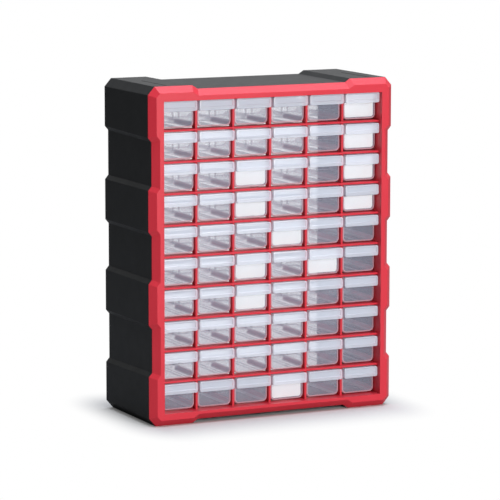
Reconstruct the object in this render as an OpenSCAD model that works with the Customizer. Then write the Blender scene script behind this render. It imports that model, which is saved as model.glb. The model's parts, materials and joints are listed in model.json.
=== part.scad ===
// A parts bin cabinet: a black rear casing, a red front frame whose grid carries the drawers
// on rails, and clear drawers that each hold a loose divider.
// Lengths are millimetres. The front faces -Y, and the origin is the middle of the footprint.

/* [Cabinet] */
// Width over the corner blocks
cabinet_w = 380; // [360:1:420]
// Depth from the frame's front face to the back
cabinet_d = 160; // [150:1:200]
// Height over the corner blocks
cabinet_h = 475; // [450:1:520]
// How far the blocks on the outline stand proud of the sides, top and bottom
step_d = 5; // [3:0.5:6]
// Width of the slanted corner
chamfer_w = 10; // [6:0.5:14]
// Height of the slanted corner
chamfer_h = 11.5; // [6:0.5:16]
// Height of a corner block on the sides
corner_h = 70.5; // [50:0.5:80]
// Length of a corner block on the top and bottom
corner_w = 67; // [50:0.5:80]
// Height of a block between the corners
block_h = 57.5; // [40:0.5:65]
// Length of the slope beside a block on the sides
side_slope = 6; // [3:0.5:10]
// Length of the slope beside a block on the top and bottom
top_slope = 8; // [4:0.5:12]
// How much shorter a corner block is at the back
block_taper = 3; // [0:0.5:5]

/* [Casing] */
// Thickness of the casing's sides
casing_wall = 3; // [2.5:0.1:4]
// Thickness of the casing's back
back_wall = 3; // [2.5:0.1:4]
// Length of the groove on a top block
groove_l = 85; // [40:1:110]
// Width of the groove
groove_w = 2.2; // [1:0.1:4]
// Depth of the groove
groove_d = 1.2; // [0.5:0.1:1.8]
// Distance from the casing's front edge to the groove
groove_from_front = 8; // [3:1:20]
// Distance from the cabinet's side to the groove
groove_inset = 32; // [22:1:45]
// Distance between the two hanging holes
keyhole_spacing = 240; // [160:1:260]
// Distance from the cabinet's top to a hanging slot's upper end
keyhole_drop = 24; // [22:1:28]
// Radius of the round end that a screw head passes
keyhole_head_r = 5; // [4:0.25:6]
// Radius of the slot that holds the screw
keyhole_slot_r = 2.5; // [2:0.25:3]
// Distance between the centres of the slot's end and the round end
keyhole_slot_l = 11; // [8:1:16]
// Distance from the cabinet's side to the windows in the back
back_border = 40; // [30:1:50]
// Height of a bar across the back, where the drawers of a row stop
back_bar_t = 3; // [2:0.25:4]
// Radius of a back window's corners
window_r = 4; // [2:0.5:8]

/* [Frame] */
// Depth of the frame's slanted edge
rim_d = 10; // [6:0.5:14]
// How far the slanted edge leans in
rim_bevel = 9; // [5:0.5:10]
// Distance from the cabinet's side to the drawer opening
rim_side = 20; // [18:0.5:24]
// Distance from the cabinet's bottom to the drawer opening
rim_bottom = 18; // [17:0.5:24]
// Distance from the drawer opening to the cabinet's top
rim_top = 20.5; // [17:0.5:26]
// Thickness of the frame's walls
frame_wall = 2.4; // [1.8:0.1:2.6]
// Length of the frame's skirt inside the casing
skirt_l = 8; // [5:0.5:12]
// Clearance of the frame's skirt in the casing
skirt_fit = 0.4; // [0.3:0.05:0.6]

/* [Grid] */
// Number of drawers side by side
columns = 6; // [6:1:6]
// Number of drawers one above another
rows = 10; // [10:1:10]
// Thickness of a level bar
level_bar_t = 3; // [2.5:0.25:4]
// How much lower than a level bar the top edge of the drawer opening hangs
top_lip = 0.8; // [0:0.1:1]
// Distance from the front face to a level bar
level_bar_y = 8.5; // [6:0.5:12]
// Thickness of an upright bar
upright_bar_t = 3; // [2:0.25:4]
// Distance from the front face to an upright bar
upright_bar_y = 15; // [13:0.5:16]
// Distance from the front face to the back of the bars
grid_back_y = 26; // [22:0.5:28]
// Length of a rail behind the grid
rail_l = 55; // [50:1:70]
// Distance from the top of a level bar up to a rail
rail_low = 1.5; // [1:0.1:2]
// Height of a rail
rail_h = 5; // [4:0.1:5.5]
// How far a rail's side leans from upright, in degrees
rail_slant = 25; // [20:1:30]
// Clearance between a rail and a drawer's rounded edge
rail_gap = 0.3; // [0.2:0.05:0.4]

/* [Drawer] */
// Distance from the front face to a drawer
drawer_y = 17.5; // [17:0.25:18.5]
// Room for the heads of the hanging screws behind the drawers
drawer_rear_gap = 4.5; // [3.5:0.25:7]
// Clearance beside a drawer
drawer_side_gap = 1; // [0.5:0.1:1.5]
// Clearance under a drawer
drawer_floor_gap = 1.2; // [0.8:0.1:1.6]
// Clearance over a drawer
drawer_top_gap = 1.3; // [1.3:0.1:3]
// Thickness of a drawer's walls
drawer_wall = 1.4; // [1:0.1:2]
// Radius of a drawer's lower corners
drawer_corner_r = 7; // [4:0.5:9]
// Height of a drawer's pull
pull_h = 14.6; // [10:0.2:16]
// How much wider a pull is than its drawer
pull_overhang = 0.7; // [0.4:0.1:1]
// Distance from the front face to a pull
pull_y = 7; // [4:0.5:8]
// Thickness of a pull's front
pull_t = 1.8; // [1.4:0.1:2.4]
// Radius of a pull's corners
pull_corner_r = 2.6; // [1.5:0.1:3.5]
// Depth of a pull's label panel
label_depth = 0.7; // [0.4:0.1:1]
// Width of the pull's border around the label panel
label_border = 2; // [1.5:0.1:3]
// Width of the stop on a drawer's back
stop_w = 18; // [10:1:22]
// How far the stop reaches behind the bar over its drawer
stop_rise = 1.5; // [1:0.1:1.8]

/* [Divider] */
// Thickness of a divider
divider_t = 1.2; // [1:0.1:1.6]
// Height of a divider
divider_h = 25; // [20:1:32]
// Size of the slant on a divider's upper corners
divider_cut = 10; // [6:1:12]
// Distance from a drawer's front to its divider
divider_from_front = 66; // [50:1:85]
// Clearance around a divider
divider_gap = 0.3; // [0.2:0.05:0.4]
// Width of a rib that holds a divider
rib_w = 1; // [0.8:0.1:1.4]
// How far a rib stands in from a drawer's wall
rib_d = 1.4; // [1:0.1:1.8]
// Height of a rib
rib_h = 10; // [8:1:14]

/* [Screws] */
// Radius of a screw's shank
screw_r = 1.7; // [1.5:0.1:2]
// Length of a screw under its head
screw_l = 22; // [19:1:24]
// Radius of a screw's head
screw_head_r = 3.6; // [3.2:0.1:3.8]
// Height of a screw's head
screw_head_h = 2.4; // [1.6:0.1:3]
// Clearance of a screw in the casing's post
screw_fit = 0.5; // [0.3:0.05:0.7]
// Radius of a screw post
post_r = 5.5; // [5.2:0.1:5.8]
// Distance from the cabinet's bottom or top to a corner screw
post_z = 15; // [14.5:0.5:18]
// Distance from the front face to the front of a post
post_y = 22; // [20:0.5:24]
// Thickness of a post under a screw's head
post_floor = 10; // [6:0.5:11]

/* [Hidden] */
// Each drawer is a node of its own, but the bottom row's drawers are joined in pairs.
single_rows = rows - 1;
pair_count = columns / 2;
drawer_nodes = concat(
    [for (r = [1 : single_rows], c = [1 : columns]) drawer_name(r, c)],
    [for (p = [1 : pair_count]) str(drawer_name(rows, 2 * p - 1), "_c", 2 * p)]
);

$fn = 32;
eps = 0.01;
over = 1;            // how far a cutter runs past a face
piece_gap = 0.3;     // between pieces that meet and stay apart
hair = 0.05;         // between a screw and the hole that it cuts

side_gaps = 3;       // narrow stretches on a side
side_gap_h = (cabinet_h - 2 * corner_h - (side_gaps - 1) * block_h) / side_gaps - 2 * side_slope;
side_pitch = side_gap_h + 2 * side_slope + block_h;

opening_w = cabinet_w - 2 * rim_side;
opening_h = cabinet_h - rim_bottom - rim_top;
cell_w = (opening_w - (columns - 1) * upright_bar_t) / columns;
cell_h = (opening_h + top_lip - (rows - 1) * level_bar_t) / rows;
pitch_x = cell_w + upright_bar_t;
pitch_z = cell_h + level_bar_t;

drawer_w = cell_w - 2 * drawer_side_gap;
drawer_h = cell_h - drawer_floor_gap - drawer_top_gap;
drawer_l = cabinet_d - back_wall - drawer_rear_gap - drawer_y;
inner_w = drawer_w - 2 * drawer_wall;
pull_w = drawer_w + 2 * pull_overhang;
travel = drawer_y + drawer_l - drawer_wall - grid_back_y - piece_gap;

back_bar_z = 9;      // from a row's floor up to the bar across the back

post_x = cabinet_w / 2 - casing_wall - post_r + 2 * hair;
head_y = post_y + piece_gap + post_floor;
screw_spots = [
    for (side = [-1, 1])
        for (z = concat(
            [post_z, cabinet_h - post_z],
            [for (i = [1 : side_gaps - 1]) corner_h + i * side_pitch - block_h / 2]
        )) [side * post_x, z]
];

function drawer_name(row, column) = str("drawer_r", row < 10 ? "0" : "", row, "_c", column);

// The middle of a column, and the top of a row's floor.
function cell_x(column) = -opening_w / 2 + cell_w / 2 + (column - 1) * pitch_x;
function cell_z(row) = rim_bottom + (rows - row) * pitch_z;

// One side of the cabinet's outline, from the bottom up. taper shortens the corner blocks.
function side_points(taper) = [
    for (i = [0 : side_gaps - 1])
        let (
            low = corner_h + i * side_pitch - (i == 0 ? taper : 0),
            high = corner_h + i * side_pitch + side_gap_h + side_slope
                + (i == side_gaps - 1 ? taper : 0)
        )
        each [
            [cabinet_w / 2, low],
            [cabinet_w / 2 - step_d, low + side_slope],
            [cabinet_w / 2 - step_d, high],
            [cabinet_w / 2, high + side_slope]
        ]
];
function right_half(taper) = concat(
    [
        [cabinet_w / 2 - corner_w + taper - top_slope, step_d],
        [cabinet_w / 2 - corner_w + taper, 0],
        [cabinet_w / 2 - chamfer_w, 0],
        [cabinet_w / 2, chamfer_h]
    ],
    side_points(taper),
    [
        [cabinet_w / 2, cabinet_h - chamfer_h],
        [cabinet_w / 2 - chamfer_w, cabinet_h],
        [cabinet_w / 2 - corner_w + taper, cabinet_h],
        [cabinet_w / 2 - corner_w + taper - top_slope, cabinet_h - step_d]
    ]
);
function outline(taper = 0) = let (half = right_half(taper), last = len(half) - 1)
    concat(half, [for (i = [last : -1 : 0]) [-half[i][0], half[i][1]]]);

// The outline with each edge moved in by d.
function unit(v) = v / norm(v);
function left_of(v) = [-v[1], v[0]];
function moved_in(before, at, after, d) =
    let (a = left_of(unit(at - before)), b = left_of(unit(after - at)))
    at + d * (a + b) / (1 + a * b);
function inset(points, d) = let (n = len(points))
    [for (i = [0 : n - 1]) moved_in(points[(i + n - 1) % n], points[i], points[(i + 1) % n], d)];

// Places children drawn with the front face at y = 0.
module in_place() {
    translate([0, -cabinet_d / 2, 0]) children();
}

// Children are a flat shape in x and z, made solid from y = near to y = far.
module along_y(near, far) {
    translate([0, far, 0]) rotate([90, 0, 0]) linear_extrude(far - near) children();
}

// A solid between an outline at y = near and one with as many points at y = far. It is made
// too long and cut off, so that each end is one flat face.
module loft(front, near, back, far) {
    n = len(front);
    lean = (back - front) * over / (far - near);
    ends = [
        for (p = front - lean) [p[0], near - over, p[1]],
        for (p = back + lean) [p[0], far + over, p[1]]
    ];
    sides = [for (i = [0 : n - 1]) [i, (i + 1) % n, n + (i + 1) % n, n + i]];
    intersection() {
        polyhedron(ends, concat([[for (i = [n - 1 : -1 : 0]) i], [for (i = [0 : n - 1]) n + i]], sides));
        along_y(near, far) plate(2 * cabinet_w, 2 * cabinet_h, -cabinet_h / 2);
    }
}

module rod(x, z, r, near, far) {
    translate([x, far, z]) rotate([90, 0, 0]) cylinder(r = r, h = far - near);
}

// Children are a flat shape in y and z, made solid over the width w.
module along_x(w) {
    translate([-w / 2, 0, 0]) rotate([90, 0, 90]) linear_extrude(w) children();
}

// A flat rectangle in the middle of x, from z = low upwards.
module plate(w, h, low) {
    translate([-w / 2, low]) square([w, h]);
}

module opening_shape(extra = 0) {
    plate(opening_w + 2 * extra, opening_h + 2 * extra, rim_bottom - extra);
}

module keyhole_shape() {
    top = cabinet_h - keyhole_drop - keyhole_slot_r;
    translate([0, top - keyhole_slot_l]) circle(keyhole_head_r);
    translate([0, top]) circle(keyhole_slot_r);
    translate([-keyhole_slot_r, top - keyhole_slot_l]) square([2 * keyhole_slot_r, keyhole_slot_l]);
}

// The windows between the bars across the back.
module windows_shape() {
    offset(window_r) offset(-window_r)
        for (row = [2 : rows])
            plate(cabinet_w - 2 * back_border, pitch_z - back_bar_t, cell_z(row) + back_bar_z + back_bar_t);
}

module rear_casing() {
    color([0.13, 0.13, 0.13]) in_place() {
        difference() {
            union() {
                difference() {
                    loft(outline(), rim_d, outline(block_taper), cabinet_d);
                    loft(inset(outline(), casing_wall), rim_d - over,
                        inset(outline(block_taper), casing_wall), cabinet_d - back_wall);
                }
                for (s = screw_spots)
                    rod(s[0], s[1], post_r, post_y + piece_gap, cabinet_d - back_wall + eps);
                for (row = [1 : rows])
                    along_y(drawer_y + drawer_l + piece_gap, cabinet_d - back_wall + eps)
                        plate(opening_w, back_bar_t, cell_z(row) + back_bar_z);
            }
            for (s = screw_spots) {
                rod(s[0], s[1], screw_r + screw_fit, post_y, head_y + over);
                rod(s[0], s[1], screw_head_r + screw_fit, head_y, cabinet_d + over);
            }
            for (side = [-1, 1]) {
                translate([side * keyhole_spacing / 2, 0, 0])
                    along_y(drawer_y + drawer_l, cabinet_d + over) keyhole_shape();
                translate([side * (cabinet_w / 2 - groove_inset) - groove_w / 2,
                    rim_d + groove_from_front, cabinet_h - groove_d])
                    cube([groove_w, groove_l, groove_d + over]);
            }
            along_y(cabinet_d - back_wall - over, cabinet_d + over) windows_shape();
        }
    }
}

// The bars that part the drawers, standing back from the frame's front face.
module grid() {
    nose_r = level_bar_t / 2;
    for (row = [2 : rows])
        translate([0, 0, cell_z(row) + cell_h])
            along_x(opening_w + 2 * eps) {
                translate([level_bar_y + nose_r, nose_r]) circle(nose_r);
                translate([level_bar_y + nose_r, 0])
                    square([grid_back_y - level_bar_y - nose_r, level_bar_t]);
            }
    for (column = [2 : columns])
        translate([cell_x(column) - pitch_x / 2, 0, 0])
            along_y(upright_bar_y, grid_back_y) plate(upright_bar_t, opening_h + 2 * eps, rim_bottom - eps);
}

// How far a rail stands out from an upright bar at height z. Its side leans along the rounded
// lower edge of the drawer that it carries.
function rail_w(z) = drawer_side_gap + drawer_corner_r - (drawer_corner_r + rail_gap
    - (drawer_floor_gap + drawer_corner_r - z) * sin(rail_slant)) / cos(rail_slant);

// A rail carries the drawers on both its sides by their rounded lower edges.
module rail_shape() {
    foot = upright_bar_t / 2 + rail_w(rail_low);
    head = upright_bar_t / 2 + rail_w(rail_low + rail_h);
    polygon([[-foot, rail_low], [foot, rail_low], [head, rail_low + rail_h],
        [-head, rail_low + rail_h]]);
}

module rails() {
    along_y(grid_back_y - eps, grid_back_y + rail_l)
        for (row = [1 : rows])
            intersection() {
                for (column = [1 : columns + 1])
                    translate([cell_x(column) - pitch_x / 2, cell_z(row)]) rail_shape();
                opening_shape(frame_wall);
            }
}

module front_frame() {
    skirt_in = casing_wall + skirt_fit;
    color([0.86, 0.17, 0.24]) in_place() {
        difference() {
            union() {
                difference() {
                    union() {
                        loft(inset(outline(), rim_bevel), 0, outline(), rim_d);
                        along_y(rim_d - eps, rim_d + skirt_l) polygon(inset(outline(), skirt_in));
                        along_y(rim_d, grid_back_y) opening_shape(frame_wall);
                    }
                    along_y(-over, grid_back_y + over) opening_shape();
                    hollow(rim_bevel + over, frame_wall);
                    hollow(skirt_in + frame_wall, rim_d);
                }
                for (s = screw_spots) rod(s[0], s[1], post_r - skirt_fit, rim_d - frame_wall, post_y);
            }
            for (s = screw_spots)
                rod(s[0], s[1], screw_r + hair, head_y - screw_l - hair, post_y + over);
        }
        grid();
        rails();
    }
}

// The room behind the frame's front, between its edge and the walls of the opening.
module hollow(d, near) {
    along_y(near, grid_back_y + over)
        difference() {
            polygon(inset(outline(), d));
            opening_shape(frame_wall);
        }
}

module frame_screws() {
    color([0.75, 0.75, 0.77]) in_place()
        for (s = screw_spots) {
            rod(s[0], s[1], screw_r, head_y - screw_l, head_y + hair);
            rod(s[0], s[1], screw_head_r, head_y + hair, head_y + hair + screw_head_h);
        }
}

// A drawer's cross-section, moved in by d: square above, round at the lower corners.
module drawer_shape(d, top) {
    r = drawer_corner_r - d;
    half = drawer_w / 2 - d;
    translate([-half, drawer_corner_r]) square([2 * half, top - drawer_corner_r]);
    translate([-half + r, d]) square([2 * (half - r), drawer_corner_r - d + eps]);
    for (side = [-1, 1]) translate([side * (half - r), drawer_corner_r]) circle(r);
}

// The pull's front: a plate with rounded corners and a sunk label panel with slanted sides.
module pull() {
    low = drawer_h - pull_h;
    half = pull_w / 2;
    difference() {
        along_y(pull_y, drawer_y + eps)
            union() {
                translate([-half, low + pull_corner_r])
                    square([pull_w, pull_h - 2 * pull_corner_r]);
                translate([-half + pull_corner_r, low])
                    square([pull_w - 2 * pull_corner_r, pull_h]);
                for (x = [-1, 1], z = [low + pull_corner_r, drawer_h - pull_corner_r])
                    translate([x * (half - pull_corner_r), z]) circle(pull_corner_r);
            }
        along_y(pull_y + pull_t, drawer_y)
            plate(pull_w - 2 * drawer_wall, pull_h - drawer_wall + over, low - over);
        hull() {
            along_y(pull_y + label_depth - eps, pull_y + label_depth)
                plate(pull_w - 2 * (label_border + label_depth),
                    pull_h - 2 * (label_border + label_depth), low + label_border + label_depth);
            along_y(pull_y - eps, pull_y)
                plate(pull_w - 2 * label_border, pull_h - 2 * label_border, low + label_border);
        }
    }
}

// A divider: rounded below like the drawer, with a slant on each upper corner.
module divider_shape() {
    low = drawer_wall + divider_gap;
    half = inner_w / 2 - divider_gap;
    high = low + divider_h;
    intersection() {
        drawer_shape(low, drawer_h);
        polygon([[-half, low], [half, low], [half, high - divider_cut],
            [half - divider_cut, high], [divider_cut - half, high],
            [-half, high - divider_cut]]);
    }
}

// A drawer with its floor's underside at z = 0 and its front at y = drawer_y.
module drawer_body() {
    rear = drawer_y + drawer_l;
    divider_y = drawer_y + divider_from_front;
    difference() {
        along_y(drawer_y, rear) drawer_shape(0, drawer_h);
        along_y(drawer_y + drawer_wall, rear - drawer_wall)
            drawer_shape(drawer_wall, drawer_h + over);
    }
    pull();
    translate([-stop_w / 2, rear - drawer_wall, drawer_h - eps])
        cube([stop_w, drawer_wall, drawer_top_gap + stop_rise]);
    for (side = [-1, 1], y = [divider_y - divider_gap - rib_w, divider_y + divider_t + divider_gap])
        translate([side * (inner_w - rib_d) / 2, y + rib_w / 2, drawer_corner_r + rib_h / 2])
            cube([rib_d + 2 * eps, rib_w, rib_h], center = true);
}

module drawer(row, column) {
    divider_y = drawer_y + divider_from_front;
    in_place() translate([cell_x(column), 0, cell_z(row) + drawer_floor_gap]) {
        color([0.85, 0.88, 0.92, 0.5]) drawer_body();
        color([0.80, 0.83, 0.87, 0.5]) along_y(divider_y, divider_y + divider_t) divider_shape();
    }
}

rear_casing();
front_frame();
frame_screws();
for (row = [1 : single_rows], column = [1 : columns])
    drawer(row, column);
for (p = [1 : pair_count])
    for (column = [2 * p - 1, 2 * p]) drawer(rows, column);
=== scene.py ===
# %% [markdown]
# # A parts bin cabinet
# A black moulded casing holds a red front frame, and sixty clear drawers slide in the frame's
# grid. The casing, frame and screws come from the CAD model as they are and get their finishes
# here. Each drawer is modelled again, in the same place and at the same size, because its thin
# walls, rounded rims and sunk label panel are what the eye rests on.

import math

import bmesh
import bpy
from mathutils import Matrix, Vector
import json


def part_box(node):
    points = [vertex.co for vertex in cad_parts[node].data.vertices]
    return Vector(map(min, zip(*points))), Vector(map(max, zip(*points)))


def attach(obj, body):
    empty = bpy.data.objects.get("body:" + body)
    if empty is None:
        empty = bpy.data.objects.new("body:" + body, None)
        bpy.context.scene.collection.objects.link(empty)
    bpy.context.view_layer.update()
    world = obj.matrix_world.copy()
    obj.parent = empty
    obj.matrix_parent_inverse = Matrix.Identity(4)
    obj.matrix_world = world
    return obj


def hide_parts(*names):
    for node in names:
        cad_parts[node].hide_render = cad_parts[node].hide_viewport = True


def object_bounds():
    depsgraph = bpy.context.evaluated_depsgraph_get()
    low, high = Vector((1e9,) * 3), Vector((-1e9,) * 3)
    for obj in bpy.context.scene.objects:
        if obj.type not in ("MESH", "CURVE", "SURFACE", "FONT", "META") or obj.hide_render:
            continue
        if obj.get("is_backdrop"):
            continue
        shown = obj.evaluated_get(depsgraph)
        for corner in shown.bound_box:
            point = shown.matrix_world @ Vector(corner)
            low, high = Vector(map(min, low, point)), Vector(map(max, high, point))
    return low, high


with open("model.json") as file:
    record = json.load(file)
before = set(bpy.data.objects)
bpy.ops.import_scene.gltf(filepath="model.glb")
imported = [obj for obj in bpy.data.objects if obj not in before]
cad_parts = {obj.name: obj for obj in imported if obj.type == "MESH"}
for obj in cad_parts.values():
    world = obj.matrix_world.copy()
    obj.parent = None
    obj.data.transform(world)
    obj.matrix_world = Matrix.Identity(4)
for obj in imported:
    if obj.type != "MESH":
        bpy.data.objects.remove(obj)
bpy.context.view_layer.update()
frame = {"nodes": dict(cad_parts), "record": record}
MM = 0.001

# %% [markdown]
# ## The camera
# A long lens a few metres away keeps the cabinet's edges nearly parallel. The camera stands to
# the left of the front and a little above the top, so the left side and the top both show. Its
# turn, tilt and roll are given as rotations from a camera that looks straight at the front.

# %% Camera
CAMERA_PLACE = (-1.82416, -3.73929, 0.84080)
CAMERA_TURN, CAMERA_TILT, CAMERA_ROLL = 26.01, -8.38, 0.06
LENS, SENSOR = 211.6, 36.0

camera_data = bpy.data.cameras.new("camera")
camera_data.lens, camera_data.sensor_width = LENS, SENSOR
camera = bpy.data.objects.new("camera", camera_data)
camera.matrix_world = (
    Matrix.Translation(CAMERA_PLACE)
    @ Matrix.Rotation(math.radians(-CAMERA_TURN), 4, "Z")
    @ Matrix.Rotation(math.radians(90 + CAMERA_TILT), 4, "X")
    @ Matrix.Rotation(math.radians(CAMERA_ROLL), 4, "Z")
)
bpy.context.collection.objects.link(camera)
bpy.context.scene.camera = camera
print("camera looks along", [round(v, 3) for v in camera.matrix_world.col[2][:3]])

# %% [markdown]
# ## Shader maths as Python
# A finish is a small sum over noise patterns. Wrapping a socket in a class lets that sum be
# written as an expression: every operator adds one Math node and hands back its output. All
# other nodes come from one method, which takes the node's type, its settings and its sockets.


# %% Sockets and graphs
class Socket:
    """An output socket that can stand in an expression of numbers."""

    def __init__(self, graph, socket):
        self.graph, self.socket = graph, socket

    def __add__(self, other):
        return self.graph.maths("ADD", self, other)

    def __sub__(self, other):
        return self.graph.maths("SUBTRACT", self, other)

    def __rsub__(self, other):
        return self.graph.maths("SUBTRACT", other, self)

    def __mul__(self, other):
        return self.graph.maths("MULTIPLY", self, other)

    def __truediv__(self, other):
        return self.graph.maths("DIVIDE", self, other)

    def __rtruediv__(self, other):
        return self.graph.maths("DIVIDE", other, self)

    def __pow__(self, other):
        return self.graph.maths("POWER", self, other)

    __radd__, __rmul__ = __add__, __mul__


class Graph:
    """The node tree of a new material."""

    def __init__(self, name):
        self.material = bpy.data.materials.new(name)
        self.material.use_nodes = True
        self.tree = self.material.node_tree
        self.tree.nodes.clear()

    def add(self, kind, settings=None, inputs=None, output=0):
        node = self.tree.nodes.new(kind)
        for name, value in (settings or {}).items():
            setattr(node, name, value)
        for key, value in (inputs or {}).items():
            if isinstance(value, Socket):
                self.tree.links.new(value.socket, node.inputs[key])
            else:
                node.inputs[key].default_value = value
        return Socket(self, node.outputs[output])

    def maths(self, operation, *values):
        return self.add("ShaderNodeMath", {"operation": operation}, dict(enumerate(values)))

    def between(self, factor, low, high):
        """A colour from low to high."""
        return self.add(
            "ShaderNodeMix",
            {"data_type": "RGBA"},
            {0: factor, 6: (*low, 1), 7: (*high, 1)},
            output=2,
        )

    def place(self):
        return self.add("ShaderNodeTexCoord", output=3)

    def noise(self, size_mm, detail):
        """Noise from 0 to 1, with blobs of about size_mm."""
        return self.add(
            "ShaderNodeTexNoise",
            {},
            {
                "Vector": self.place(),
                "Scale": 1 / (size_mm * MM),
                "Detail": detail,
            },
        )

    def bump(self, height, depth_mm, normal=None):
        inputs = {"Height": height, "Distance": depth_mm * MM, "Strength": 1.0}
        if normal:
            inputs["Normal"] = normal
        return self.add("ShaderNodeBump", {}, inputs)

    def surface(self, shader):
        out = self.tree.nodes.new("ShaderNodeOutputMaterial")
        self.tree.links.new(shader.socket, out.inputs["Surface"])
        return self.material


print("helpers ready")

# %% [markdown]
# ## Moulded plastics
# The frame and the casing are injection moulded. Such a surface is never one flat colour: the
# pigment flows unevenly, the tool leaves a grain, and handling polishes it in patches. Three
# noises make that, each at its own size. No moulded edge is sharp either. The Bevel node bends
# the light at an edge as a small rounding would, and leaves the shape alone.

# %% A moulded finish


def moulded(name, colour, deep_colour, gloss, grain_mm, grain_depth_mm, edge_mm, shine):
    """gloss is the roughness where it is most polished and where it is least."""
    graph = Graph(name)
    flow = graph.noise(45, detail=3)
    grain = graph.noise(grain_mm, detail=2)
    handling = graph.noise(18, detail=4)
    edge = graph.add("ShaderNodeBevel", {"samples": 4}, {"Radius": edge_mm * MM})
    low, high = gloss
    shader = graph.add(
        "ShaderNodeBsdfPrincipled",
        {},
        {
            "Base Color": graph.between(flow * 0.7 + grain * 0.3, deep_colour, colour),
            "Roughness": handling * (high - low) + low,
            "Specular IOR Level": shine,
            "Normal": graph.bump(grain, grain_depth_mm, normal=edge),
        },
    )
    return graph.surface(shader)


red_plastic = moulded(
    "red_plastic",
    colour=(0.69, 0.040, 0.062),
    deep_colour=(0.62, 0.029, 0.048),
    gloss=(0.28, 0.38),
    grain_mm=1.2,
    grain_depth_mm=0.012,
    edge_mm=0.7,
    shine=0.28,
)
black_plastic = moulded(
    "black_plastic",
    colour=(0.0135, 0.0155, 0.0170),
    deep_colour=(0.0085, 0.0100, 0.0115),
    gloss=(0.42, 0.52),
    grain_mm=0.9,
    grain_depth_mm=0.03,
    edge_mm=1.0,
    shine=0.17,
)
print("moulded:", red_plastic.name, black_plastic.name)

# %% [markdown]
# ## Zinc-plated screws
# The screws sit deep in their holes, so only their heads catch a little light. A pale metal with
# a fine blotch in its roughness is what zinc plating shows.

# %% Screw steel


def plated_steel():
    graph = Graph("plated_steel")
    blotch = graph.noise(1.5, detail=4)
    shader = graph.add(
        "ShaderNodeBsdfPrincipled",
        {},
        {
            "Base Color": graph.between(blotch, (0.52, 0.53, 0.55), (0.68, 0.69, 0.70)),
            "Metallic": 1.0,
            "Roughness": blotch * 0.2 + 0.25,
        },
    )
    return graph.surface(shader)


finishes = {
    "front_frame": red_plastic,
    "rear_casing": black_plastic,
    "frame_screws": plated_steel(),
}
for node, material in finishes.items():
    mesh = frame["nodes"][node].data
    mesh.materials.clear()
    mesh.materials.append(material)
print("finished nodes:", *finishes)

# %% [markdown]
# ## Clear plastic
# A drawer is moulded in clear polystyrene. Its walls are thin, so light hardly bends in them:
# what the eye reads is a faint milky film on each wall, and a paler line wherever a wall is seen
# end on. A plain Alpha gives the film, and the films add up by themselves where one drawer is
# seen through another. The front and the floor mirror more of the room than the side walls do,
# so their films are denser, which is painted reflection. The pink in the films of the floor, the
# lower roundings and the rims is a painted reflection of the red frame beside them. The front's
# bead is a darker pink, which is painted reflection and painted shade. The rims, the front's bead
# and the pull are thicker and let the least through.

# %% Clear plastic


def clear_plastic(name, colour, cover, gloss):
    graph = Graph(name)
    smudge = graph.noise(9, detail=4)
    wave = graph.noise(14, detail=1)
    low, high = gloss
    shader = graph.add(
        "ShaderNodeBsdfPrincipled",
        {},
        {
            "Base Color": (*colour, 1),
            "Alpha": cover,
            "Roughness": smudge * (high - low) + low,
            "Specular IOR Level": 0.5,
            "Normal": graph.bump(wave, 0.02),
        },
    )
    return graph.surface(shader)


# The denser films of the front and the floor are painted reflection. The pinks of the floor, the
# curve, the corner and the rim are painted reflection of the red frame. The bead's darker pink is
# painted reflection and painted shade.
CLEAR = [
    clear_plastic("clear_wall", (0.90, 0.93, 1.00), 0.165, (0.10, 0.24)),
    clear_plastic("clear_front", (0.70, 0.76, 0.96), 0.26, (0.10, 0.24)),
    clear_plastic("clear_floor_painted_reflection", (0.94, 0.88, 0.95), 0.34, (0.12, 0.26)),
    clear_plastic("clear_curve_painted_reflection", (1.00, 0.86, 0.94), 0.58, (0.12, 0.26)),
    clear_plastic("clear_corner_painted_reflection", (0.98, 0.65, 0.76), 0.48, (0.12, 0.26)),
    clear_plastic("clear_bead_painted_reflection_shade", (0.66, 0.43, 0.50), 0.82, (0.15, 0.30)),
    clear_plastic("clear_rim", (0.88, 0.84, 0.90), 0.55, (0.15, 0.30)),
    clear_plastic("clear_pull", (0.84, 0.88, 0.99), 0.58, (0.12, 0.26)),
    clear_plastic("clear_panel", (0.82, 0.88, 1.00), 0.60, (0.12, 0.26)),
]
WALL, FRONT, FLOOR, CURVE, CORNER, BEAD, RIM, PULL, PANEL = range(len(CLEAR))
print("clear plastics:", [m.name for m in CLEAR])

# %% [markdown]
# ## One drawer
# The tub starts as a box. The two long lower edges get a wide round, the top is taken off, and
# the edges round the front and back get a small round. A clear wall is drawn as one sheet, since
# a line of sight crosses many walls and a ray may only pass through eight surfaces. The top rim
# is folded inwards and down, which gives it the wall's thickness where it can be seen.

# %% Sizes of a drawer
# Millimetres. Ends in _R: a rounding's radius. Ends in _T, _W, _H, _D or _L: a thickness, width,
# height, depth or length.
ROWS, COLUMNS = 10, 6
WALL_T = 1.4
CORNER_R, FRONT_R, BACK_R = 7.0, 2.3, 1.6
CURVE_H = 2.2  # how high the lower part of a corner's rounding reaches
LIP_H = 1.6
PULL_H, PULL_R, PULL_EDGE_R = 14.6, 2.6, 0.5
PULL_OUT = 10.5  # how far it stands before the tub
PULL_WIDER = 1.4  # how much wider it is than the tub
LABEL_BORDER, LABEL_DEPTH, CORNER_MERGE = 2.0, 0.7, 0.6
LABEL_LOW_UP, LABEL_HIGH_UP = 2.2, 0.8  # how far the panel's two long edges are moved up
DIVIDER_T, DIVIDER_H, DIVIDER_CUT = 1.2, 25.0, 10.0
DIVIDER_Y, DIVIDER_GAP = 66.0, 0.3  # its distance from the front, and its room to the walls
RIB_W, RIB_D, RIB_H = 1.0, 1.4, 10.0
STOP_W, STOP_H = 18.0, 2.8
SUNK = 0.01  # how far a fitting reaches into the wall that it grows from

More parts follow.
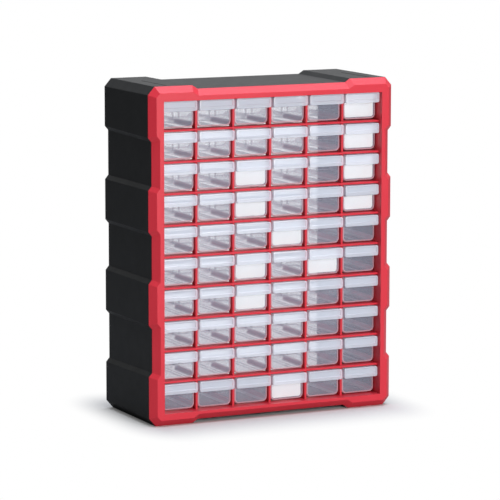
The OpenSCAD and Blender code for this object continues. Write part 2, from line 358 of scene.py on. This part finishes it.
low, high = (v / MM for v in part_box("drawer_r01_c1"))
PULL_W = high.x - low.x
DRAWER_W = PULL_W - PULL_WIDER
DRAWER_H = high.z - low.z - STOP_H
DRAWER_L = high.y - low.y - PULL_OUT
next_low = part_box("drawer_r01_c2")[0] / MM
lower_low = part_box("drawer_r02_c1")[0] / MM
PITCH_X, PITCH_Z = next_low.x - low.x, low.z - lower_low.z
FIRST = Vector(((low.x + high.x) / 2, low.y + PULL_OUT, low.z))
print("drawer, mm:", [round(v, 2) for v in (DRAWER_W, DRAWER_L, DRAWER_H)])
print("pitch, mm:", round(PITCH_X, 2), round(PITCH_Z, 2))

# %% Helpers for a mesh under way
NEAR = 1e-3  # mm


def all_at(item, axis, value):
    """Whether an edge or face lies in the plane where an axis has a value."""
    return all(abs(v.co[axis] - value) < NEAR for v in item.verts)


def lengthwise(bm, z):
    """The edges at a height that run straight back or up, not across."""
    return [
        e for e in bm.edges
        if all_at(e, 2, z) and abs(e.verts[0].co.x - e.verts[1].co.x) < NEAR
    ]


def box_between(bm, low, high):
    """A closed box from corner to corner."""
    low, high = Vector(low), Vector(high)
    made = bmesh.ops.create_cube(bm, size=1)["verts"]
    bmesh.ops.scale(bm, vec=high - low, verts=made)
    bmesh.ops.translate(bm, vec=(low + high) / 2, verts=made)


def rounded(bm, edges, radius, segments):
    bmesh.ops.bevel(
        bm,
        geom=edges,
        offset=radius,
        affect="EDGES",
        segments=segments,
        profile=0.5,
        material=-1,
    )


def paint(faces, material):
    for face in faces:
        face.material_index = material


def add_to(target, part):
    """Moves a finished part's mesh into the target."""
    mesh = bpy.data.meshes.new("part")
    part.to_mesh(mesh)
    part.free()
    target.from_mesh(mesh)
    bpy.data.meshes.remove(mesh)


print("mesh helpers ready")

# %% The tub


def tub():
    bm = bmesh.new()
    box_between(bm, (-DRAWER_W / 2, 0, 0), (DRAWER_W / 2, DRAWER_L, DRAWER_H))
    rounded(bm, lengthwise(bm, 0), CORNER_R, 6)
    top = [f for f in bm.faces if all_at(f, 2, DRAWER_H)]
    bmesh.ops.delete(bm, geom=top, context="FACES")
    for y, radius in ((0, FRONT_R), (DRAWER_L, BACK_R)):
        edges = [e for e in bm.edges if all_at(e, 1, y) and not e.is_boundary]
        rounded(bm, edges, radius, 3)
    bmesh.ops.recalc_face_normals(bm, faces=bm.faces)
    # The lower roundings and the floor get films with a painted reflection of the red frame. The
    # front's rounding gets a darker film, which is painted reflection and painted shade.
    paint([f for f in bm.faces if all(v.co.z < CORNER_R + NEAR for v in f.verts)], CORNER)
    paint([f for f in bm.faces if all(v.co.z < CURVE_H for v in f.verts)], CURVE)
    paint([f for f in bm.faces if all(v.co.y < FRONT_R + NEAR for v in f.verts)], BEAD)
    paint([f for f in bm.faces if all_at(f, 1, 0)], FRONT)
    paint([f for f in bm.faces if all_at(f, 2, 0)], FLOOR)
    folded_rim(bm)
    return bm


def folded_rim(bm):
    """Turns the open top's edge inwards by the wall's thickness and then down."""
    edge = [e for e in bm.edges if e.is_boundary]
    middle = Matrix.Translation((0, -DRAWER_L / 2, 0))
    shrink = ((DRAWER_W - 2 * WALL_T) / DRAWER_W, (DRAWER_L - 2 * WALL_T) / DRAWER_L, 1)
    for step in ("in", "down"):
        made = bmesh.ops.extrude_edge_only(bm, edges=edge)["geom"]
        verts = [g for g in made if isinstance(g, bmesh.types.BMVert)]
        edge = [g for g in made if isinstance(g, bmesh.types.BMEdge)]
        edge = [e for e in edge if e.is_boundary and all(v in verts for v in e.verts)]
        if step == "in":
            bmesh.ops.scale(bm, vec=shrink, space=middle, verts=verts)
        else:
            bmesh.ops.translate(bm, vec=(0, 0, -LIP_H), verts=verts)
        paint([g for g in made if isinstance(g, bmesh.types.BMFace)], RIM)


def edge_count(bm):
    return len(bm.faces), sum(not e.is_manifold for e in bm.edges)


print("tub: faces, open edges", edge_count(tub()))

# %% [markdown]
# ## The pull
# The pull is a shallow hood: a ledge to get a finger under, two ends, and a front plate with a
# sunk panel for a label, nearer to the top edge than to the bottom one. It is one skin bent over
# the front of the tub. Two insets sink the panel, the second one with its depth, so the panel's
# sides slant as a moulded one's do. Between the two, each corner's points are merged into one, or
# the second inset would turn them over.

# %% The pull


def pull():
    bm = bmesh.new()
    low_z = DRAWER_H - PULL_H
    box_between(bm, (-PULL_W / 2, -PULL_OUT, low_z), (PULL_W / 2, 0, DRAWER_H))
    deep_edges = [e for e in bm.edges if not all_at(e, 1, 0) and not all_at(e, 1, -PULL_OUT)]
    rounded(bm, deep_edges, PULL_R, 4)
    rounded(bm, [e for e in bm.edges if all_at(e, 1, -PULL_OUT)], PULL_EDGE_R, 2)
    bmesh.ops.recalc_face_normals(bm, faces=bm.faces)
    paint(bm.faces, PULL)
    front = [plate(bm)]
    bmesh.ops.inset_region(bm, faces=front, thickness=LABEL_BORDER, use_even_offset=True)
    bmesh.ops.remove_doubles(bm, verts=front[0].verts, dist=CORNER_MERGE)
    front = [plate(bm)]
    middle = front[0].calc_center_median().z
    for vert in front[0].verts:
        vert.co.z += LABEL_LOW_UP if vert.co.z < middle else LABEL_HIGH_UP
    bmesh.ops.inset_region(
        bm, faces=front, thickness=LABEL_DEPTH, depth=-LABEL_DEPTH, use_even_offset=True
    )
    paint(front, PANEL)
    open_sides = [f for f in bm.faces if all_at(f, 1, 0) or all_at(f, 2, low_z)]
    bmesh.ops.delete(bm, geom=open_sides, context="FACES")
    return bm


def plate(bm):
    """The pull's largest face in the plane of its front."""
    flat = [f for f in bm.faces if all_at(f, 1, -PULL_OUT)]
    return max(flat, key=bmesh.types.BMFace.calc_area)


print("pull: faces, open edges", edge_count(pull()))

# %% [markdown]
# ## Ribs, stop and divider
# Two ribs on each side wall hold a loose divider, and a tab on the back stops the drawer before
# it falls out. The divider is a sheet with the tub's own cross-section, a hair smaller, and a
# slant on each upper corner. It is seen through the drawer, so it is one sheet too: its rear face
# is taken away.

# %% Ribs, stop and divider


def fittings():
    bm = bmesh.new()
    inner = DRAWER_W / 2 - WALL_T
    for side in (-1, 1):
        for y in (
            DIVIDER_Y - DIVIDER_GAP - RIB_W,
            DIVIDER_Y + DIVIDER_T + DIVIDER_GAP,
        ):
            near, far = sorted((side * (inner - RIB_D), side * (inner + SUNK)))
            box_between(bm, (near, y, CORNER_R), (far, y + RIB_W, CORNER_R + RIB_H))
    box_between(
        bm,
        (-STOP_W / 2, DRAWER_L - WALL_T, DRAWER_H - SUNK),
        (STOP_W / 2, DRAWER_L, DRAWER_H + STOP_H),
    )
    paint(bm.faces, WALL)
    return bm


def divider():
    bm = bmesh.new()
    half = DRAWER_W / 2 - WALL_T - DIVIDER_GAP
    low_z = WALL_T + DIVIDER_GAP
    box_between(
        bm,
        (-half, DIVIDER_Y, low_z),
        (half, DIVIDER_Y + DIVIDER_T, low_z + DIVIDER_H),
    )
    for z, size, steps in ((low_z, CORNER_R - low_z, 5), (low_z + DIVIDER_H, DIVIDER_CUT, 1)):
        rounded(bm, lengthwise(bm, z), size, steps)
    paint(bm.faces, WALL)
    paint([f for f in bm.faces if all_at(f, 2, low_z + DIVIDER_H)], RIM)
    rear = [f for f in bm.faces if all_at(f, 1, DIVIDER_Y + DIVIDER_T)]
    bmesh.ops.delete(bm, geom=rear, context="FACES")
    return bm


# %% [markdown]
# ## Sixty drawers
# All drawers are alike, so one mesh is built and copied. Each copy gets its place in its own
# mesh, stands for its CAD node and rides on that node's body. The bottom row's drawers go in
# pairs, because there the CAD model has two drawers in a node.

# %% Place the drawers
template = bmesh.new()
for part in (tub, pull, fittings, divider):
    add_to(template, part())
drawer_mesh = bpy.data.meshes.new("drawer")
template.to_mesh(drawer_mesh)
template.free()
drawer_mesh.transform(Matrix.Scale(MM, 4))
print("one drawer:", len(drawer_mesh.polygons), "faces")

body_of_node = {
    node: body
    for body, nodes in frame["record"]["behaviour"]["bodies"].items()
    for node in nodes
}


def node_and_body(row, column):
    """The CAD node that holds a drawer, and its body."""
    name = f"drawer_r{row:02d}_c{column}"
    if name not in body_of_node:
        first = column - (column - 1) % 2
        name = f"drawer_r{row:02d}_c{first}_c{first + 1}"
    return name, body_of_node[name]


def drawer_place(row, column):
    """The middle of a drawer's front, on its underside, in millimetres."""
    return FIRST + Vector(((column - 1) * PITCH_X, 0, (1 - row) * PITCH_Z))


SMOOTH_BELOW = 35  # degrees


def show(mesh, name, body, materials):
    """Links a finished mesh as a piece that rides on a body."""
    for material in materials:
        mesh.materials.append(material)
    mesh.shade_smooth()
    mesh.set_sharp_from_angle(angle=math.radians(SMOOTH_BELOW))
    piece = bpy.data.objects.new(name, mesh)
    bpy.context.collection.objects.link(piece)
    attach(piece, body)
    return piece


for row in range(1, ROWS + 1):
    for column in range(1, COLUMNS + 1):
        node, body = node_and_body(row, column)
        mesh = drawer_mesh.copy()
        mesh.transform(Matrix.Translation(drawer_place(row, column) * MM))
        piece = show(mesh, f"clear_drawer_r{row:02d}_c{column}", body, CLEAR)
        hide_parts(node)
bpy.data.meshes.remove(drawer_mesh)
print("drawers placed:", ROWS * COLUMNS)

# %% [markdown]
# ## Label cards
# A white card stands inside the front of some drawers. It is thin stiff paper: a small grid is
# cut to rounded lower corners, bowed a little, and given its thickness. Paper is matt, faintly
# warm, and shows its fibres only as a slight mottle.

# %% Paper


def card_paper():
    graph = Graph("card_paper")
    fibre = graph.noise(0.7, detail=5)
    cloud = graph.noise(12, detail=2)
    shader = graph.add(
        "ShaderNodeBsdfPrincipled",
        {},
        {
            "Base Color": graph.between(
                fibre * 0.5 + cloud * 0.5, (0.92, 0.95, 0.90), (0.96, 0.99, 0.94)
            ),
            "Roughness": 0.85,
            "Specular IOR Level": 0.25,
            "Normal": graph.bump(fibre, 0.02),
        },
    )
    return graph.surface(shader)


# %% Cards
CARD_W, CARD_T, CARD_R = 45.6, 0.35, 4.0
CARD_BOW, CARD_STRIPS = 0.5, 8  # how far it bows, and in how many strips it bends
CARD_UP, CARD_GAP = 3.0, 0.3  # how high it stands, and its distance from the front's inside
TALL_CARD, SHORT_CARD = 32.0, 19.0
CARDS = {
    (1, 6): TALL_CARD, (2, 6): TALL_CARD, (3, 3): TALL_CARD, (3, 6): TALL_CARD,
    (4, 3): SHORT_CARD, (4, 6): SHORT_CARD, (5, 4): TALL_CARD, (6, 3): TALL_CARD,
    (6, 5): TALL_CARD, (7, 3): TALL_CARD, (10, 4): TALL_CARD,
}


def card(height):
    """A card with its middle at x = 0 and its face towards -Y, bowed to the back."""
    bm = bmesh.new()
    box_between(bm, (-CARD_W / 2, 0, 0), (CARD_W / 2, CARD_T, height))
    rounded(bm, lengthwise(bm, 0), CARD_R, 5)
    for i in range(1, CARD_STRIPS):
        x = -CARD_W / 2 + CARD_W * i / CARD_STRIPS
        geometry = bm.verts[:] + bm.edges[:] + bm.faces[:]
        bmesh.ops.bisect_plane(bm, geom=geometry, plane_co=(x, 0, 0), plane_no=(1, 0, 0))
    for v in bm.verts:
        v.co.y += CARD_BOW * (1 - (2 * v.co.x / CARD_W) ** 2)
    return bm


paper = card_paper()
for (row, column), height in CARDS.items():
    bm = card(height)
    mesh = bpy.data.meshes.new("card")
    bm.to_mesh(mesh)
    bm.free()
    place = drawer_place(row, column) + Vector((0, WALL_T + CARD_GAP, CARD_UP))
    mesh.transform(Matrix.Translation(place * MM) @ Matrix.Scale(MM, 4))
    show(mesh, f"card_r{row:02d}_c{column}", node_and_body(row, column)[1], (paper,))
print("cards:", len(CARDS))

# %% [markdown]
# ## Floor and backdrop
# The cabinet stands on a pale floor that runs into a white backdrop with no edge. Close to the
# cabinet the floor is an ordinary matt surface, so it takes the cabinet's shadow. Its grey there
# is also painted shade round the cabinet, which reaches further before it than beside it. Further
# out it turns into plain white for the camera, by a Mix Shader whose factor grows with the
# distance.
# Light that reaches the floor by any other way meets a greyer sheet, which throws little back.

# %% Floor


# Where the painted shade round the cabinet starts to fade and how far it reaches,
# beside and before the cabinet, in metres.
SHADE_X, SHADE_Y = (0.17, 0.075), (0.07, 0.13)
# The grey of the matt floor close to the cabinet, which is painted shade where no shadow falls,
# and the grey that other light meets.
FLOOR_SHADE, FLOOR_BOUNCE = 0.66, 0.33
FLOOR_SIZE = 60.0


def floor_finish():
    graph = Graph("floor")
    place = graph.place()
    x, y = (graph.add("ShaderNodeSeparateXYZ", {}, {0: place}, i) for i in (0, 1))
    beside, before = (
        graph.maths("MAXIMUM", graph.maths("ABSOLUTE", way) - start, 0.0) / reach
        for way, (start, reach) in ((x, SHADE_X), (y, SHADE_Y))
    )
    far = graph.add(
        "ShaderNodeMapRange",
        {"interpolation_type": "SMOOTHSTEP"},
        {"Value": (beside**2 + before**2) ** 0.5},
    )
    matt = graph.add("ShaderNodeBsdfDiffuse", {}, {"Color": (*[FLOOR_SHADE] * 3, 1)})
    white = graph.add("ShaderNodeEmission", {}, {"Strength": 1.0})
    grey = graph.add("ShaderNodeBsdfDiffuse", {}, {"Color": (*[FLOOR_BOUNCE] * 3, 1)})
    seen = graph.add("ShaderNodeMixShader", {}, {0: far, 1: matt, 2: white})
    camera_ray = graph.add("ShaderNodeLightPath", output=0)
    return graph.surface(graph.add("ShaderNodeMixShader", {}, {0: camera_ray, 1: grey, 2: seen}))


bm = bmesh.new()
bmesh.ops.create_grid(bm, x_segments=1, y_segments=1, size=FLOOR_SIZE / 2)
mesh = bpy.data.meshes.new("floor")
bm.to_mesh(mesh)
bm.free()
mesh.materials.append(floor_finish())
floor = bpy.data.objects.new("floor", mesh)
bpy.context.collection.objects.link(floor)
floor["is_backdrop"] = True
print("floor ready")

# %% [markdown]
# ## Light
# One broad, faintly blue lamp hangs over the cabinet and a second one stands in front, so tops
# are brightest, fronts are plain and the sides fall off. The world fills in a little from all
# round, more from above and from the backdrop, and is white where the camera sees it.

# %% World
world = bpy.data.worlds.new("studio")
bpy.context.scene.world = world
world.use_nodes = True


class WorldGraph(Graph):
    """The node tree of the world."""

    def __init__(self, world):
        self.tree = world.node_tree
        self.tree.nodes.clear()


TO_BACKDROP = Vector((0.42, 0.87, 0.25)).normalized()
BACKDROP_FILL, TOP_FILL, EVEN_FILL = 0.736, 0.24, 0.096

sky = WorldGraph(world)
direction = sky.add("ShaderNodeTexCoord", output=0)
height = sky.add("ShaderNodeSeparateXYZ", {}, {0: direction}, output=2)
towards = sky.add(
    "ShaderNodeVectorMath",
    {"operation": "DOT_PRODUCT"},
    {0: direction, 1: TO_BACKDROP},
    output=1,
)
backdrop = sky.maths("MAXIMUM", towards, 0.0) ** 4 * BACKDROP_FILL
fill = backdrop + sky.maths("MAXIMUM", height, 0.0) * TOP_FILL + EVEN_FILL
camera_ray = sky.add("ShaderNodeLightPath", output=0)
strength = sky.add("ShaderNodeMix", {"data_type": "FLOAT"}, {0: camera_ray, 2: fill, 3: 1.0})
background = sky.add("ShaderNodeBackground", {}, {"Color": (1, 1, 1, 1), "Strength": strength})
out = sky.tree.nodes.new("ShaderNodeOutputWorld")
sky.tree.links.new(background.socket, out.inputs["Surface"])
print("world ready")

# %% Lamps


def lamp(name, place, target, size, power, colour):
    data = bpy.data.lights.new(name, "AREA")
    data.shape, data.size, data.energy, data.color = "SQUARE", size, power, colour
    made = bpy.data.objects.new(name, data)
    turn = (Vector(target) - Vector(place)).to_track_quat("-Z", "Y")
    made.matrix_world = Matrix.Translation(place) @ turn.to_matrix().to_4x4()
    bpy.context.collection.objects.link(made)


MIDDLE = (0, 0, 0.24)
lamp("top_lamp", (0.35, -0.2, 3.0), MIDDLE, 2.4, 80, (0.84, 0.89, 1.0))
lamp("front_lamp", (0.3, -3.3, 0.8), MIDDLE, 1.5, 90, (1.0, 0.99, 0.98))
bpy.context.scene.view_settings.view_transform = "Standard"
print("lamps ready")

# %% The drawn size
low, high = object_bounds()
print("drawn box, mm:", [round(v / MM, 2) for v in high - low])
